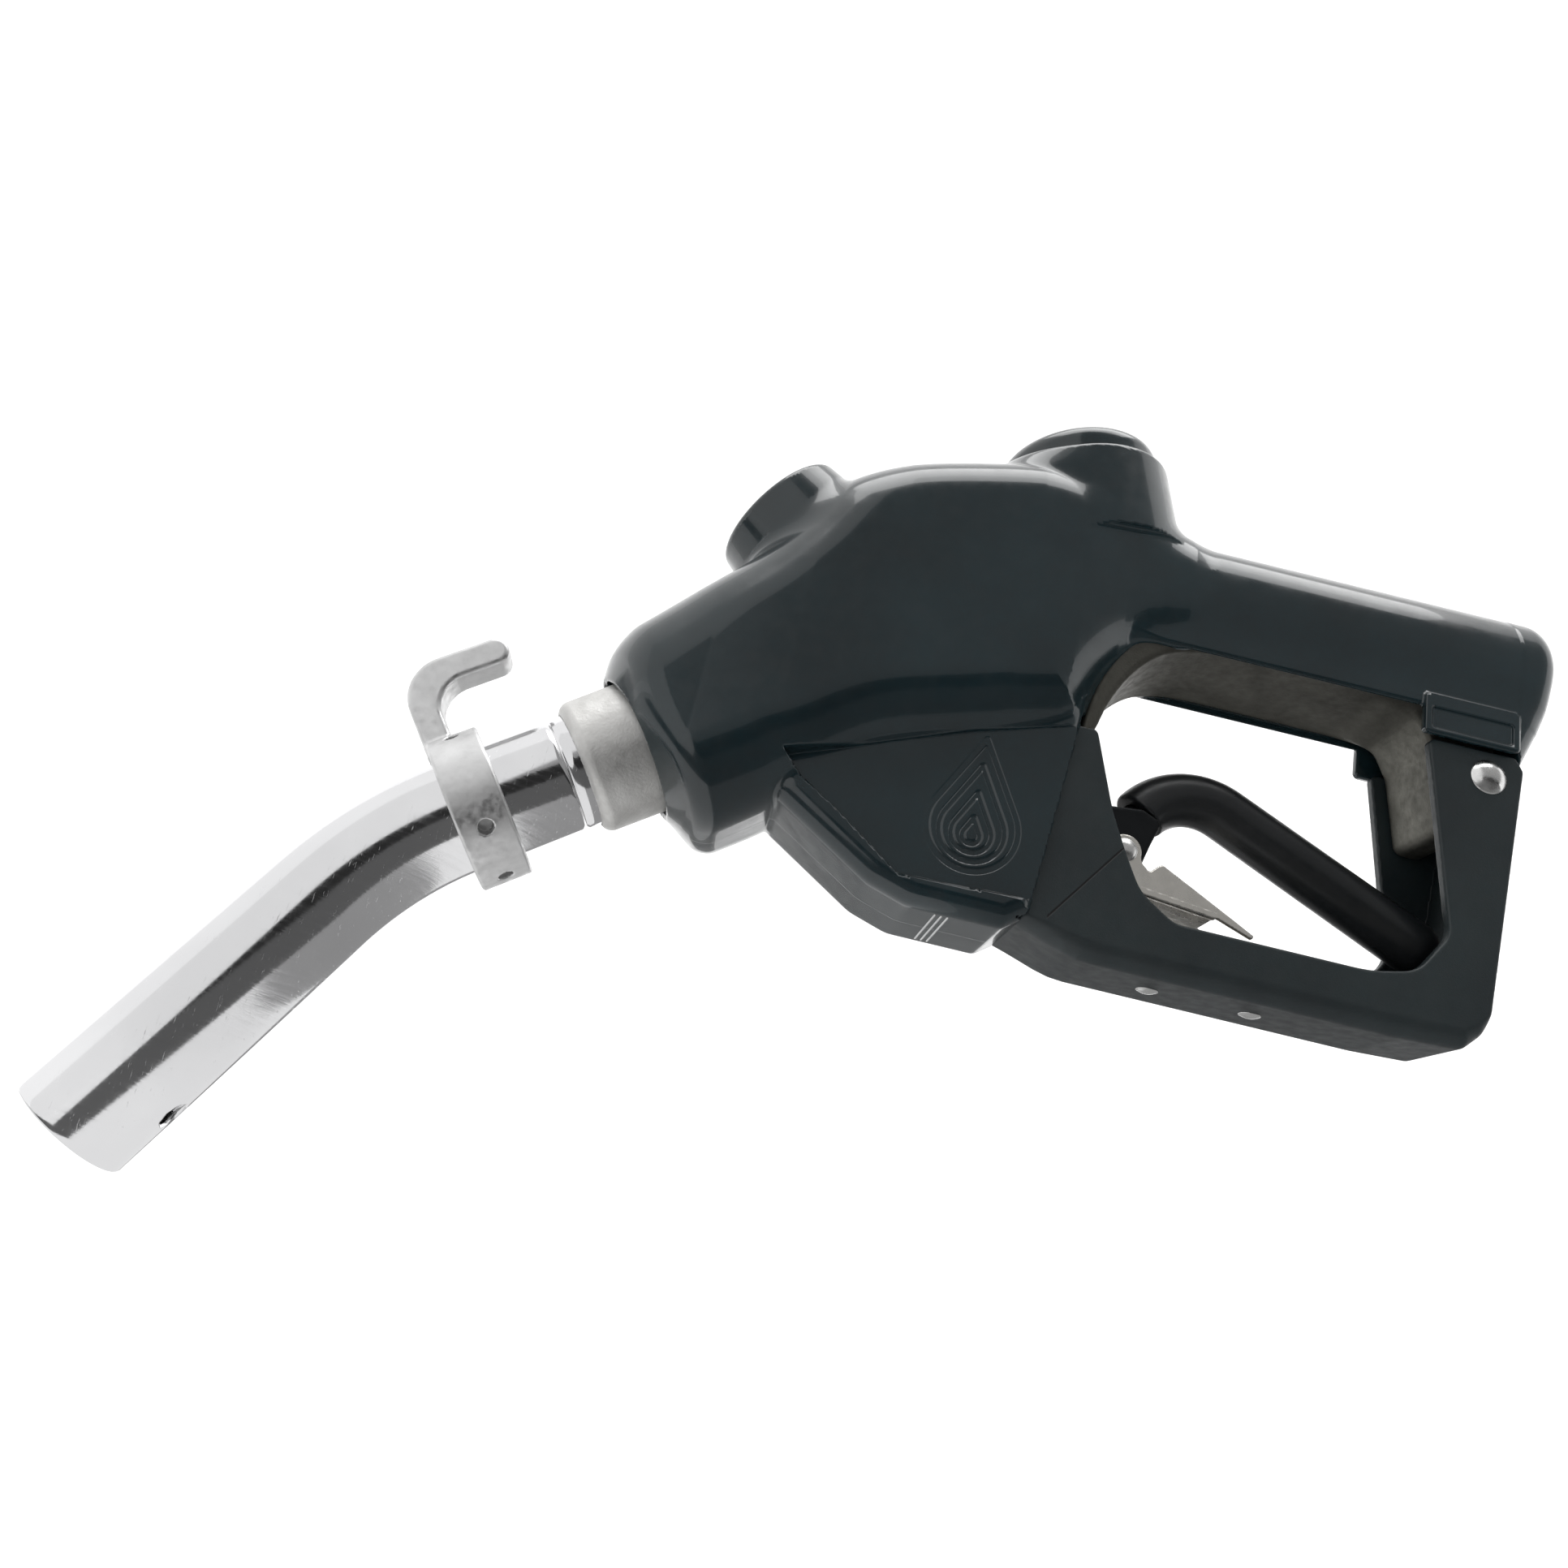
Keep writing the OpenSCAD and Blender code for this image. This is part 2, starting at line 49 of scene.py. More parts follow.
GROOVE = np.array([-255.0, 0.0, -90.5])
SPOUT_DROP = math.radians(37)
TIPWARD = np.array([-math.cos(SPOUT_DROP), 0, -math.sin(SPOUT_DROP)])
SPOUT_UP = np.array([-math.sin(SPOUT_DROP), 0, math.cos(SPOUT_DROP)])
VALVE_TOP = np.array([-137.0, 0.0, 40.0])
VALVE_TILT = math.radians(13.6)
VALVE_DOWN = np.array([math.sin(VALVE_TILT), 0, -math.cos(VALVE_TILT)])
VALVE_SIDE = np.array([math.cos(VALVE_TILT), 0, math.sin(VALVE_TILT)])
LATCH_FACE = np.array([-219.0, 0.0, 0.0])
LATCH_TILT = math.radians(38)
LATCH_DOWN = np.array([math.cos(LATCH_TILT), 0, -math.sin(LATCH_TILT)])
LATCH_SIDE = np.array([math.sin(LATCH_TILT), 0, math.cos(LATCH_TILT)])
SPOUT_R = 15.0
BEND_R, BEND, ROOT, END = 95.7, math.radians(23.1), 28.4, 73.7


def along(p, origin, axis, side):
    """Distance along an axis, distance along its side direction, for points p."""
    rel = p - origin
    return rel @ axis, rel @ side


# ---------------------------------------------------------------- signed distances, negative inside


def round_max(a, b, r):
    """Intersection with a round edge of radius r."""
    u, v = np.maximum(r + a, 0), np.maximum(r + b, 0)
    return np.minimum(-r, np.maximum(a, b)) + np.hypot(u, v)


def round_min(a, b, r):
    """Union with a fillet of radius r."""
    return -round_max(-a, -b, r)


def carve(a, b, r):
    """a without b, with a round edge of radius r."""
    return round_max(a, -b, r)


def box2(u, v, half_u, half_v, r):
    """Rounded rectangle."""
    a, b = np.abs(u) - half_u + r, np.abs(v) - half_v + r
    return np.hypot(np.maximum(a, 0), np.maximum(b, 0)) + np.minimum(np.maximum(a, b), 0) - r


def polygon(x, z, pts):
    best = np.full(x.shape, 1e12)
    inside = np.zeros(x.shape, bool)
    for (ax, az), (bx, bz) in zip(pts, pts[1:] + pts[:1]):
        ex, ez = bx - ax, bz - az
        wx, wz = x - ax, z - az
        k = np.clip((wx * ex + wz * ez) / (ex * ex + ez * ez), 0, 1)
        best = np.minimum(best, (wx - k * ex) ** 2 + (wz - k * ez) ** 2)
        if az != bz:
            inside ^= ((az > z) != (bz > z)) & (wx < ex * wz / ez)
    return np.where(inside, -1, 1) * np.sqrt(best)


def with_arcs(pts):
    """A side outline whose corners (x, z, radius) are rounded; a corner (x, z) stays sharp."""
    out = []
    for before, here, after in zip(pts[-1:] + pts[:-1], pts, pts[1:] + pts[:1]):
        corner = np.array(here[:2], float)
        if len(here) == 2:
            out.append(tuple(corner))
            continue
        a, b = np.array(before[:2]) - corner, np.array(after[:2]) - corner
        a, b = a / np.hypot(*a), b / np.hypot(*b)
        half = math.acos(np.clip(a @ b, -1, 1)) / 2
        if half > 1.56:
            out.append(tuple(corner))
            continue
        reach = here[2] / math.tan(half)
        centre = corner + (a + b) / np.hypot(*(a + b)) * here[2] / math.sin(half)
        first, last = corner + a * reach - centre, corner + b * reach - centre
        start = math.atan2(first[1], first[0])
        turn = (math.atan2(last[1], last[0]) - start + math.pi) % (2 * math.pi) - math.pi
        steps = max(2, int(abs(turn) / 0.12))
        angles = [start + turn * k / steps for k in range(steps + 1)]
        out += [tuple(centre + here[2] * np.array([math.cos(a), math.sin(a)])) for a in angles]
    return out


def smooth_line(pts, per=8):
    """A smooth curve through the points of a closed outline."""
    q = np.array(pts, float)
    out = []
    for i in range(len(q)):
        a, b, c, d = q[i - 1], q[i], q[(i + 1) % len(q)], q[(i + 2) % len(q)]
        for t in np.arange(per) / per:
            out.append(tuple(0.5 * (2 * b + (c - a) * t + (2 * a - 5 * b + 4 * c - d) * t ** 2
                                    + (3 * b - a - 3 * c + d) * t ** 3)))
    return out


class Outline:
    """Signed distance to a side outline, looked up in a fine grid."""

    STEP, MARGIN = 0.4, 34.0

    def __init__(self, pts):
        a = np.array(pts)
        self.low = a.min(0) - self.MARGIN
        size = np.ceil((a.max(0) + self.MARGIN - self.low) / self.STEP).astype(int) + 2
        gx, gz = np.meshgrid(*[self.low[i] + self.STEP * np.arange(size[i]) for i in (0, 1)], indexing="ij")
        self.grid = polygon(gx, gz, pts)

    def __call__(self, x, z):
        out = []
        cells = []
        for v, low, n in ((x, self.low[0], self.grid.shape[0]), (z, self.low[1], self.grid.shape[1])):
            f = np.clip((v - low) / self.STEP, 0, n - 1.001)
            i = f.astype(int)
            cells.append((i, f - i))
            beyond = np.maximum(low - v, 0) + np.maximum(v - low - (n - 1) * self.STEP, 0)
            out.append(beyond)
        (i, u), (j, w) = cells
        g = self.grid
        below = g[i, j] * (1 - u) + g[i + 1, j] * u
        above = g[i, j + 1] * (1 - u) + g[i + 1, j + 1] * u
        return below * (1 - w) + above * w + np.hypot(*out)


# ---------------------------------------------------------------- a field becomes a mesh

BLOCK = 8


def sample(field, low, high, h):
    """The field's values on a grid, exact near the surface and only signed elsewhere."""
    blocks = np.ceil((np.array(high) - low) / (h * BLOCK)).astype(int)
    number = np.stack(np.meshgrid(*[np.arange(n) for n in blocks], indexing="ij"), -1).reshape(-1, 3)
    centre = (number + 0.5) * BLOCK
    value = field(low + (centre - 0.5) * h)
    reach = 1.25 * h * BLOCK
    grid = np.repeat(np.repeat(np.repeat(np.sign(value).reshape(blocks), BLOCK, 0), BLOCK, 1), BLOCK, 2) * 1e3
    near = np.nonzero(np.abs(value) < reach)[0]
    local = np.stack(np.meshgrid(*[np.arange(BLOCK)] * 3, indexing="ij"), -1).reshape(-1, 3)
    corner = (centre - 0.5 * BLOCK).astype(int)
    for part in np.array_split(near, max(1, len(near) // 1500)):
        index = (corner[part][:, None, :] + local[None]).reshape(-1, 3)
        grid[tuple(index.T)] = field(low + index * h)
    return grid


CORNERS = [(0, 0, 0), (1, 0, 0), (0, 1, 0), (1, 1, 0), (0, 0, 1), (1, 0, 1), (0, 1, 1), (1, 1, 1)]
EDGES = [(0, 1), (2, 3), (4, 5), (6, 7), (0, 2), (1, 3), (4, 6), (5, 7), (0, 4), (1, 5), (2, 6), (3, 7)]


def surface_net(grid, low, h):
    """Quads round the zero level, one vertex in each cell that it crosses."""
    inside = grid < 0
    shape = np.array(grid.shape) - 1
    count = np.zeros(shape, np.uint8)
    for c in CORNERS:
        count += inside[c[0]:c[0] + shape[0], c[1]:c[1] + shape[1], c[2]:c[2] + shape[2]]
    cells = np.stack(np.nonzero((count > 0) & (count < 8)), 1)
    values = [grid[tuple((cells + c).T)] for c in CORNERS]
    total, hits = np.zeros((len(cells), 3)), np.zeros(len(cells))
    for a, b in EDGES:
        va, vb = values[a], values[b]
        cross = (va < 0) != (vb < 0)
        t = np.where(cross, va / np.where(cross, va - vb, 1), 0)[:, None]
        point = np.array(CORNERS[a]) * (1 - t) + np.array(CORNERS[b]) * t
        total += np.where(cross[:, None], point, 0)
        hits += cross
    verts = low + (cells + total / hits[:, None]) * h
    number = np.full(shape, -1)
    number[tuple(cells.T)] = np.arange(len(cells))
    quads = []
    for axis in range(3):
        step = np.eye(3, dtype=int)[axis]
        u, v = np.eye(3, dtype=int)[(axis + 1) % 3], np.eye(3, dtype=int)[(axis + 2) % 3]
        n = np.array(grid.shape) - step
        first = inside[:n[0], :n[1], :n[2]]
        second = inside[step[0]:, step[1]:, step[2]:]
        at = np.stack(np.nonzero(first != second), 1)
        at = at[((at >= u + v) & (at < shape + step * 2)).all(1)]
        out = first[tuple(at.T)]
        ring = np.stack([number[tuple((at - u - v).T)], number[tuple((at - v).T)], number[tuple(at.T)],
                         number[tuple((at - u).T)]], 1)
        ring[~out] = ring[~out][:, ::-1]
        quads.append(ring)
    return verts, np.concatenate(quads)


def slope(field, verts):
    e = 0.04
    return np.stack([(field(verts + s) - field(verts - s)) / (2 * e) for s in np.eye(3) * e], 1)


def settle(field, verts, h, rounds=3):
    """Moves each vertex onto the zero level along the field's gradient."""
    for _ in range(rounds):
        d = field(verts)
        g = slope(field, verts)
        step = (d / np.maximum((g * g).sum(1), 0.2))[:, None] * g
        size = np.linalg.norm(step, axis=1, keepdims=True)
        verts = verts - step * np.minimum(1, 0.7 * h / np.maximum(size, 1e-9))
    return verts


def from_field(name, field, low, high, h, material):
    """A smooth mesh object of a field, given in millimetres."""
    low = np.array(low, float) - 2 * h
    grid = sample(field, low, np.array(high, float) + 2 * h, h)
    verts, quads = surface_net(grid, low, h)
    verts = settle(field, verts, h)
    obj = mesh_object(name, verts, quads, material)
    normals = slope(field, verts)
    normals /= np.maximum(np.linalg.norm(normals, axis=1, keepdims=True), 1e-6)
    obj.data.normals_split_custom_set_from_vertices(normals.tolist())
    return obj


def mesh_object(name, verts, faces, material, smooth=True):
    mesh = bpy.data.meshes.new(name)
    mesh.from_pydata((np.asarray(verts) * MM).tolist(), [], np.asarray(faces).tolist() if len(faces) else [])
    mesh.shade_smooth() if smooth else mesh.shade_flat()
    obj = bpy.data.objects.new(name, mesh)
    bpy.context.scene.collection.objects.link(obj)
    mesh.materials.append(material)
    return obj


# ---------------------------------------------------------------- materials


class Nodes:
    """A few short words for building a node material."""

    def __init__(self, name):
        self.material = bpy.data.materials.new(name)
        self.material.use_nodes = True
        self.tree = self.material.node_tree
        self.shader = self.tree.nodes["Principled BSDF"]
        self.place = self.tree.nodes.new("ShaderNodeTexCoord").outputs["Object"]

    def link(self, a, b):
        self.tree.links.new(a, b)

    def set(self, **values):
        for key, value in values.items():
            self.shader.inputs[key.replace("_", " ")].default_value = value

    def scaled(self, scale):
        """Object coordinates times a scale, so that grain can be longer one way."""
        node = self.tree.nodes.new("ShaderNodeMapping")
        node.inputs["Scale"].default_value = scale
        self.link(self.place, node.inputs["Vector"])
        return node.outputs["Vector"]

    def noise(self, scale, detail=3, rough=0.5, stretch=(1, 1, 1), distort=0.0):
        node = self.tree.nodes.new("ShaderNodeTexNoise")
        node.inputs["Scale"].default_value = scale
        node.inputs["Detail"].default_value = detail
        node.inputs["Roughness"].default_value = rough
        node.inputs["Distortion"].default_value = distort
        self.link(self.scaled(stretch), node.inputs["Vector"])
        return node.outputs["Fac"]

    def ramp(self, value, low, high, a=0.0, b=1.0):
        node = self.tree.nodes.new("ShaderNodeMapRange")
        for key, v in (("From Min", low), ("From Max", high), ("To Min", a), ("To Max", b)):
            node.inputs[key].default_value = v
        self.link(value, node.inputs["Value"])
        return node.outputs["Result"]

    def mix(self, fac, a, b):
        node = self.tree.nodes.new("ShaderNodeMix")
        node.data_type = "RGBA"
        self.link(fac, node.inputs["Factor"])
        for socket, v in ((node.inputs["A"], a), (node.inputs["B"], b)):
            if isinstance(v, tuple):
                socket.default_value = (*v, 1)
            else:
                self.link(v, socket)
        return node.outputs["Result"]

    def add(self, a, b, kind="ADD"):
        node = self.tree.nodes.new("ShaderNodeMath")
        node.operation = kind
        for i, v in enumerate((a, b)):
            if isinstance(v, (int, float)):
                node.inputs[i].default_value = v
            else:
                self.link(v, node.inputs[i])
        return node.outputs["Value"]

    def bump(self, height, distance, strength=1.0):
        node = self.tree.nodes.new("ShaderNodeBump")
        node.inputs["Strength"].default_value = strength
        node.inputs["Distance"].default_value = distance
        self.link(height, node.inputs["Height"])
        self.link(node.outputs["Normal"], self.shader.inputs["Normal"])

    def coordinate(self, axis):
        node = self.tree.nodes.new("ShaderNodeSeparateXYZ")
        self.link(self.place, node.inputs["Vector"])
        return node.outputs[axis]

    def seam(self, a, b, wide):
        """1 on the straight line from a to b in side view, (x, z) in millimetres, 0 away from it."""
        reach = math.dist(a, b)
        nx, nz = (b[1] - a[1]) / reach, (a[0] - b[0]) / reach
        off = self.add(self.add(self.coordinate("X"), nx, "MULTIPLY"),
                       self.add(self.coordinate("Z"), nz, "MULTIPLY"))
        off = self.add(self.add(off, (a[0] * nx + a[1] * nz) * MM, "SUBTRACT"), 0, "ABSOLUTE")
        near = self.ramp(off, wide * 0.4 * MM, wide * MM, 1, 0)
        middle = self.add(self.add(self.coordinate("X"), (a[0] + b[0]) / 2 * MM, "SUBTRACT"), 0, "ABSOLUTE")
        return self.add(near, self.add(middle, abs(a[0] - b[0]) / 2 * MM, "LESS_THAN"), "MULTIPLY")


def vinyl():
    m = Nodes("vinyl")
    m.set(IOR=1.5, Coat_Weight=0.5, Coat_Roughness=0.04)
    clouds = m.noise(22, 4, 0.55)
    m.link(m.mix(m.ramp(clouds, 0.35, 0.65), (0.003, 0.008, 0.010), (0.005, 0.013, 0.016)),
           m.shader.inputs["Base Color"])
    m.link(m.ramp(m.noise(240, 3), 0.3, 0.7, 0.16, 0.26), m.shader.inputs["Roughness"])
    chin = m.ramp(m.add(m.coordinate("Y"), 0, "ABSOLUTE"), 0.0001, 0.0003, 1, 0)
    chin = m.add(chin, m.add(m.coordinate("Z"), -0.06, "LESS_THAN"), "MULTIPLY")
    height = m.add(m.noise(60, 2, 0.4), m.add(m.noise(900, 2), 0.06, "MULTIPLY"))
    m.bump(m.add(height, m.add(chin, 0.5, "MULTIPLY")), 0.0004, 0.35)
    return m.material


def moulded(name, dark, light, rough, grain, seam=None):
    m = Nodes(name)
    m.set(IOR=1.48)
    colour = m.mix(m.ramp(m.noise(40, 4, 0.6), 0.3, 0.7), dark, light)
    m.link(m.ramp(m.noise(300, 3), 0.25, 0.75, rough - 0.06, rough + 0.08), m.shader.inputs["Roughness"])
    height = m.noise(2600, 3, 0.6)
    if seam:
        line = m.seam(*seam, 0.35)
        colour = m.mix(line, colour, (0.001, 0.001, 0.001))
        height = m.add(height, m.add(line, -4, "MULTIPLY"))
    m.link(colour, m.shader.inputs["Base Color"])
    m.bump(height, grain, 0.5)
    return m.material


def cast_metal(name, dark, light, rough, scale=1.0):
    m = Nodes(name)
    m.set(Metallic=1.0)
    blot = m.noise(55 * scale, 6, 0.62, distort=0.6)
    m.link(m.mix(m.ramp(blot, 0.32, 0.68), dark, light), m.shader.inputs["Base Color"])
    m.link(m.ramp(m.noise(420 * scale, 4), 0.3, 0.7, rough - 0.08, rough + 0.1), m.shader.inputs["Roughness"])
    m.bump(m.add(m.noise(1500 * scale, 3), m.add(m.noise(160 * scale, 3), 1.5, "MULTIPLY")), 0.0002, 0.35)
    return m.material


def bright_tube():
    m = Nodes("bright_tube")
    m.set(Metallic=1.0)
    m.link(m.mix(m.ramp(m.noise(30, 3), 0.3, 0.7), (0.78, 0.78, 0.79), (0.87, 0.87, 0.88)),
           m.shader.inputs["Base Color"])
    hair = m.noise(90, 4, 0.7, (1, 1, 14))
    scratch = m.ramp(m.noise(160, 5, 0.75, (14, 3, 1)), 0.63, 0.68)
    m.link(m.add(m.ramp(hair, 0.3, 0.7, 0.07, 0.16), m.add(scratch, 0.25, "MULTIPLY")),
           m.shader.inputs["Roughness"])
    m.bump(m.add(hair, m.add(scratch, -0.6, "MULTIPLY")), 0.00003, 0.35)
    return m.material


def plated(name, colour, rough):
    m = Nodes(name)
    m.set(Metallic=1.0)
    m.link(m.mix(m.ramp(m.noise(200, 4), 0.3, 0.7), tuple(0.9 * c for c in colour), colour),
           m.shader.inputs["Base Color"])
    m.link(m.ramp(m.noise(500, 4), 0.3, 0.7, rough * 0.7, rough * 1.5), m.shader.inputs["Roughness"])
    m.bump(m.noise(800, 3), 0.00004, 0.4)
    return m.material


VINYL = vinyl()
GUARD = moulded("guard_moulding", (0.007, 0.012, 0.014), (0.010, 0.017, 0.019), 0.42, 0.00006,
                ((-112.9, -79.8), (-129.6, -102.2)))
SLEEVE = moulded("sleeve_moulding", (0.004, 0.005, 0.006), (0.007, 0.008, 0.009), 0.33, 0.00003)
CASTING = cast_metal("cast_aluminium", (0.58, 0.575, 0.56), (0.80, 0.795, 0.78), 0.55)
# a darker copy of the cast aluminium for the grip casting: painted shade, since its underside faces down away
# from the light
SHADED_CASTING = cast_metal("shaded_cast_aluminium", (0.10, 0.098, 0.086), (0.155, 0.152, 0.134), 0.55)
MACHINED = plated("ring_aluminium", (0.74, 0.74, 0.74), 0.42)
TUBE = bright_tube()
NICKEL = plated("nickel", (0.92, 0.89, 0.83), 0.3)
RIVET = plated("rivet_steel", (0.88, 0.88, 0.87), 0.24)
STEEL = plated("steel", (0.62, 0.62, 0.61), 0.28)
BLACK_STEEL = plated("black_steel", (0.03, 0.032, 0.034), 0.4)
RACK_STEEL = plated("rack_steel", (0.34, 0.32, 0.29), 0.4)
BRASS = plated("brass", (0.78, 0.58, 0.26), 0.25)
RUBBER = moulded("rubber", (0.010, 0.010, 0.010), (0.016, 0.016, 0.016), 0.6, 0.00005)
PACKING = moulded("packing", (0.62, 0.62, 0.60), (0.70, 0.70, 0.68), 0.5, 0.00003)
BY_SLOT = {"cast_aluminium": CASTING, "steel": STEEL, "rubber": RUBBER, "brass": BRASS, "packing": PACKING,
           "black_steel": BLACK_STEEL, "rack_steel": RACK_STEEL, "nickel": NICKEL, "rivet_steel": RIVET,
           "vinyl_cover": VINYL, "guard_plastic": GUARD, "sleeve_plastic": SLEEVE, "spout_metal": TUBE,
           "ring_metal": MACHINED}

for part in frame["record"]["subparts"]:
    slots = frame["nodes"][part["node"]].data.materials
    slots.clear()
    slots.append(BY_SLOT[part["material_slot"]])


def stands_for(obj, node, body):
    """obj is the finished look of a CAD node."""
    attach(obj, body)
    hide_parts(node)
    return obj


# ---------------------------------------------------------------- the vinyl cover

BODY = Outline(smooth_line([(-88, 12), (-96, 17), (-104, 20.2), (-112, 22.8), (-122, 26), (-136, 26.6),
                            (-150, 26), (-166, 22.4), (-186, 16), (-200, 8), (-207, 0), (-213, -11),
                            (-220, -21), (-226.5, -28.6), (-237.9, -40.1), (-251.6, -55.1), (-263, -66.5),
                            (-248.6, -85.8), (-229.9, -110.3), (-216.3, -100.1), (-204.4, -91),
                            (-197, -84.5), (-180, -71), (-156, -62), (-134, -54.5), (-127, -50),
                            (-125, -44), (-120.5, -33.5), (-113.5, -25), (-104, -20.5), (-96, -17),
                            (-88, -12), (-86, 0)]))
GRIP_END = Outline(with_arcs([(-140, 60), (2, 60), (0, 0, 30), (-1.2, -12, 20), (-4, -20, 20), (-10, -34),
                              (-140, -34)]))
HOUSING = Outline(with_arcs([(-127, -40), (-127.3, -46), (-133.6, -103, 2), (-140, -107.6, 3),
                             (-164, -107.6, 10), (-175, -104.2, 12), (-201, -88.2, 4), (-204, -82),
                             (-200, -62), (-160, -48)]))
PANEL = Outline(with_arcs([(-129.6, -51.3, 0.8), (-135, -99.8, 1.2), (-168, -101.3, 3), (-186, -88.6, 20),
                           (-203, -78.2, 0.4), (-180, -69.3, 30), (-156.4, -59.5, 30)]))
MOUTH = Outline(smooth_line([(-126.5, -55), (-125.6, -49), (-122.4, -40), (-117, -30.5), (-110, -23.4),
                             (-101, -19.2), (-90, -17.6), (-60, -17.6), (-16, -17.6), (-13.4, -19),
                             (-12.6, -23), (-12, -40), (-60, -60)]))
GRIP_LOW = -20.5
HOUSE_W = 19.6
RECESS = 0.9


def half_width(x):
    return np.interp(x, [-262, -226, -205, -185, -150, -135, -122, -112, -104, -96, -88],
                     [26.5, 27, 28, 28.4, 28, 26, 22.5, 20.4, 19.4, 17, 13])


def ease(value, low, high):
    """0 below low, 1 above high, smooth between."""
    t = np.clip((value - low) / (high - low), 0, 1)
    return t * t * (3 - 2 * t)


def grip_field(x, y, z):
    ay = np.abs(y)
    taper = 1.9 * ease(-z, 1, 16)
    bar = np.hypot(y, np.maximum(z, 0)) - (19.4 - taper)
    whole = round_max(bar, GRIP_END(x, z), 7.5)
    bar = round_max(whole, GRIP_LOW - z, 2)
    tail = round_max(whole, np.maximum(-30.2 - z, -12.5 - x), 1.5)
    bar = round_min(bar, tail, 0.5)
    tab = np.maximum(box2(x + 25, z + 22.3, 13.2, 5.9, 1.2), np.abs(ay - 17.1) - 1.5)
    tab = carve(tab, np.maximum(box2(x + 25, z + 23.4, 11, 2.9, 0.8), 17.9 - ay), 0.2)
    return round_min(bar, tab, 0.6)


def cover_field(p):
    x, y, z = p[:, 0], p[:, 1], p[:, 2]
    ay = np.abs(y)
    s, h = along(p, GROOVE, TIPWARD, SPOUT_UP)
    # body and nose, cut in front by a blunt cone about the spout's axis
    body = round_max(BODY(x, z), ay - half_width(x), 18 + 2 * ease(s, -60, -40))
    rho = np.hypot(h, y * 1.1)
    lean = 0.58 + 0.009 * np.clip(h, -25, 25)
    cone = (s + 19.3 - 0.04 * h + (rho - 20) * lean) / np.hypot(1, lean)
    body = round_max(body, cone, 3.5)
    d = round_min(body - 0.4, grip_field(x, y, z), 2.5)
    # disc over the vacuum cap
    m, side = along(p, LATCH_FACE, LATCH_DOWN, LATCH_SIDE)
    disc = round_max(np.hypot(side - 0.6, y * 1.02) - (19.9 + 0.12 * m), -0.7 - m, 1.6)
    d = round_min(d, np.maximum(disc, m - 30), 3.5)
    # stepped dome over the valve cap
    v, side = along(p, VALVE_TOP, VALVE_DOWN, VALVE_SIDE)
    rim = np.hypot(side, y)
    dome = round_max(rim - 22.8, -1.5 - v, 5.5)
    skirt = round_max(rim - 25.4 - 0.04 * (v - 8), 7.6 - v, 1.6)
    d = round_min(d, np.maximum(skirt, v - 34), 9 - 7 * ease(v, 9, 22))
    d = round_min(d, np.maximum(dome, v - 12), 0.8)
    # lower housing with its recessed panel
    house = round_max(HOUSING(x, z), ay - HOUSE_W, 5.5)
    house = carve(house, np.maximum(PANEL(x, z), HOUSE_W - RECESS - ay), 0.35)
    d = round_min(d, house, 1.2)
    d = carve(d, np.maximum(PANEL(x, z) + 0.3, HOUSE_W - RECESS - ay), 0.4)
    # hollows: collar opening, grip mouth, inlet, room for the lever's front end
    d = carve(d, np.maximum(np.hypot(h, y) - 19, -48 - s), 1.4)
    d = carve(d, np.maximum(MOUTH(x, z), ay - 16.3), 0.7)
    d = carve(d, np.maximum(np.hypot(y, z) - 14.2, -20 - x), 0.8)
    room = np.maximum(np.maximum(ay - 16.5, -140 - x), z + 47 + 0.45 * (x + 126))
    room = np.maximum(room, -104 - z)
    return np.maximum(d, -room)


COVER = from_field("cover", cover_field, (-257, -30, -110), (1, 30, 47), 0.8, VINYL)
stands_for(COVER, "body_cover", "nozzle_body")


# ---------------------------------------------------------------- panels with a plain fuel-drop mark


def drop(u, v, r, tall=2.1):
    """Signed distance to a drop: a circle of radius r with a point above it."""
    beta = math.asin(1 / tall)
    au = np.abs(u)
    w = -au * math.sin(beta) + v * math.cos(beta)
    flank = au * math.cos(beta) + v * math.sin(beta) - r
    pointed = np.where(w < tall * r * math.cos(beta), flank, np.hypot(u, v - tall * r))
    return np.where(w < 0, np.hypot(u, v) - r, pointed)


def panel_relief(x, z):
    """Engraved lines, in millimetres of depth."""
    u, v = x + 152, z + 85
    lines = [drop(u, v, 11.5), drop(u, v + 0.8, 8.3), drop(u, v + 1.6, 5.1), drop(u, v + 2.2, 2.2)]
    depth = np.zeros(x.shape)
    for line in lines:
        depth = np.maximum(depth, 1 - ease(np.abs(line), 0.2, 0.9))
    swell = 0.25 * (1 - ease(np.abs(lines[0] + 6), 3, 7))
    return 0.55 * depth - swell


def panel_plate(name, side):
    step = 0.33
    gx, gz = np.meshgrid(np.arange(-205, -127, step), np.arange(-103, -49, step), indexing="ij")
    inside = PANEL(gx, gz) < 0.3
    number = np.cumsum(inside.ravel()).reshape(inside.shape) - 1
    y = side * (HOUSE_W - RECESS + 0.02 - panel_relief(gx, gz) * (PANEL(gx, gz) < -1))
    quads = np.stack([number[:-1, :-1], number[1:, :-1], number[1:, 1:], number[:-1, 1:]], -1)
    whole = inside[:-1, :-1] & inside[1:, :-1] & inside[1:, 1:] & inside[:-1, 1:]
    quads = quads[whole]
    verts = np.stack([gx, y, gz], -1)[inside]
    return mesh_object(name, verts, quads if side < 0 else quads[:, ::-1], VINYL)


for name, side in (("panel_near", -1), ("panel_far", 1)):
    stands_for(panel_plate(name, side), "body_cover", "nozzle_body")

# ---------------------------------------------------------------- cast metal

